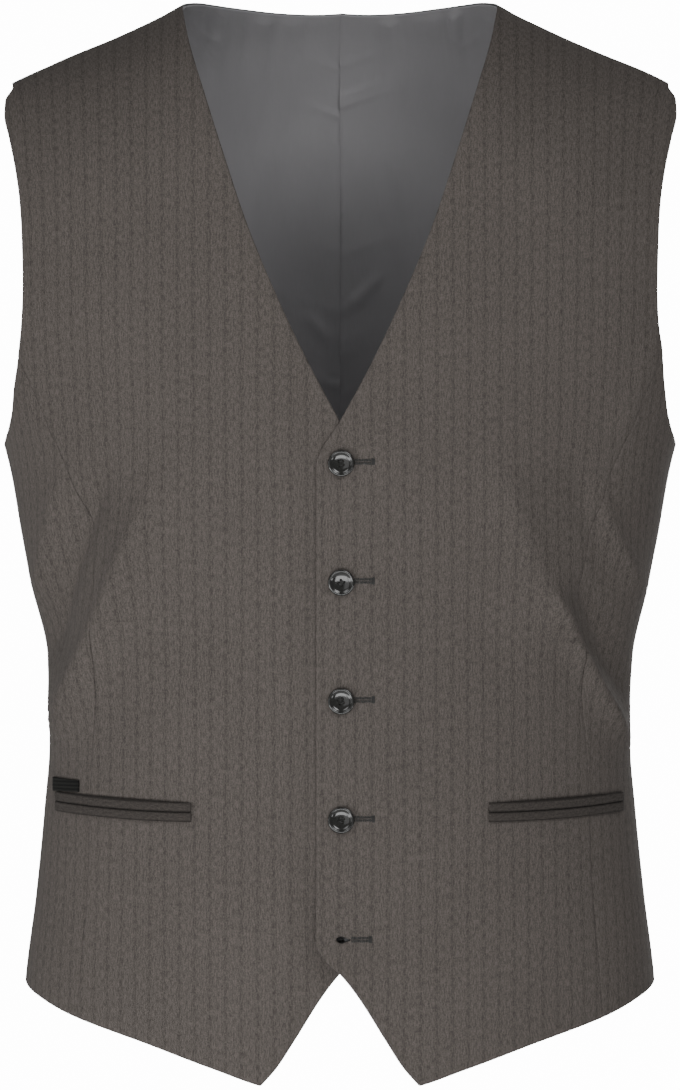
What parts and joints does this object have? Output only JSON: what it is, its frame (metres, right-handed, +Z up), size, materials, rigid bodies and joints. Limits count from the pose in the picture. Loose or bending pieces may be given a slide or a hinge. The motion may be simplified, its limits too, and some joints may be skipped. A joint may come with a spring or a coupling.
{
  "type": "single-breasted suit waistcoat",
  "caption": "Single-breasted suit waistcoat in its worn, hollow form: V neck, buttoned front, pointed hem, jetted pockets and satin back.",
  "frame": {"origin": "midway between the two shoulder seams, at half their height, where the wearer's shoulders hold the garment", "axes": "+Z up, -Y towards the front of the garment, +X towards the wearer's left"},
  "size_m": [0.3962, 0.2548, 0.6334],
  "materials": {
    "suiting": "warm grey-taupe worsted wool with a fine darker self stripe, matt",
    "satin": "dark grey lining satin, slightly glossy",
    "lining": "grey lining satin, slightly glossy",
    "trim": "plain black woven tape",
    "horn": "polished black with faint grey streaks"
  },
  "bodies": {
    "root": {"front_left": "suiting", "front_right": "suiting", "side_left": "suiting", "side_right": "suiting", "back_left": "satin", "back_right": "satin", "back_lining_left": "lining", "back_lining_right": "lining", "pocket_upper_welt_left": "suiting", "pocket_upper_welt_right": "suiting", "pocket_lower_welt_left": "suiting", "pocket_lower_welt_right": "suiting", "pocket_tab": "trim", "button_1": "horn", "button_2": "horn", "button_3": "horn", "button_4": "horn", "button_5": "horn"}
  },
  "joints": []
}
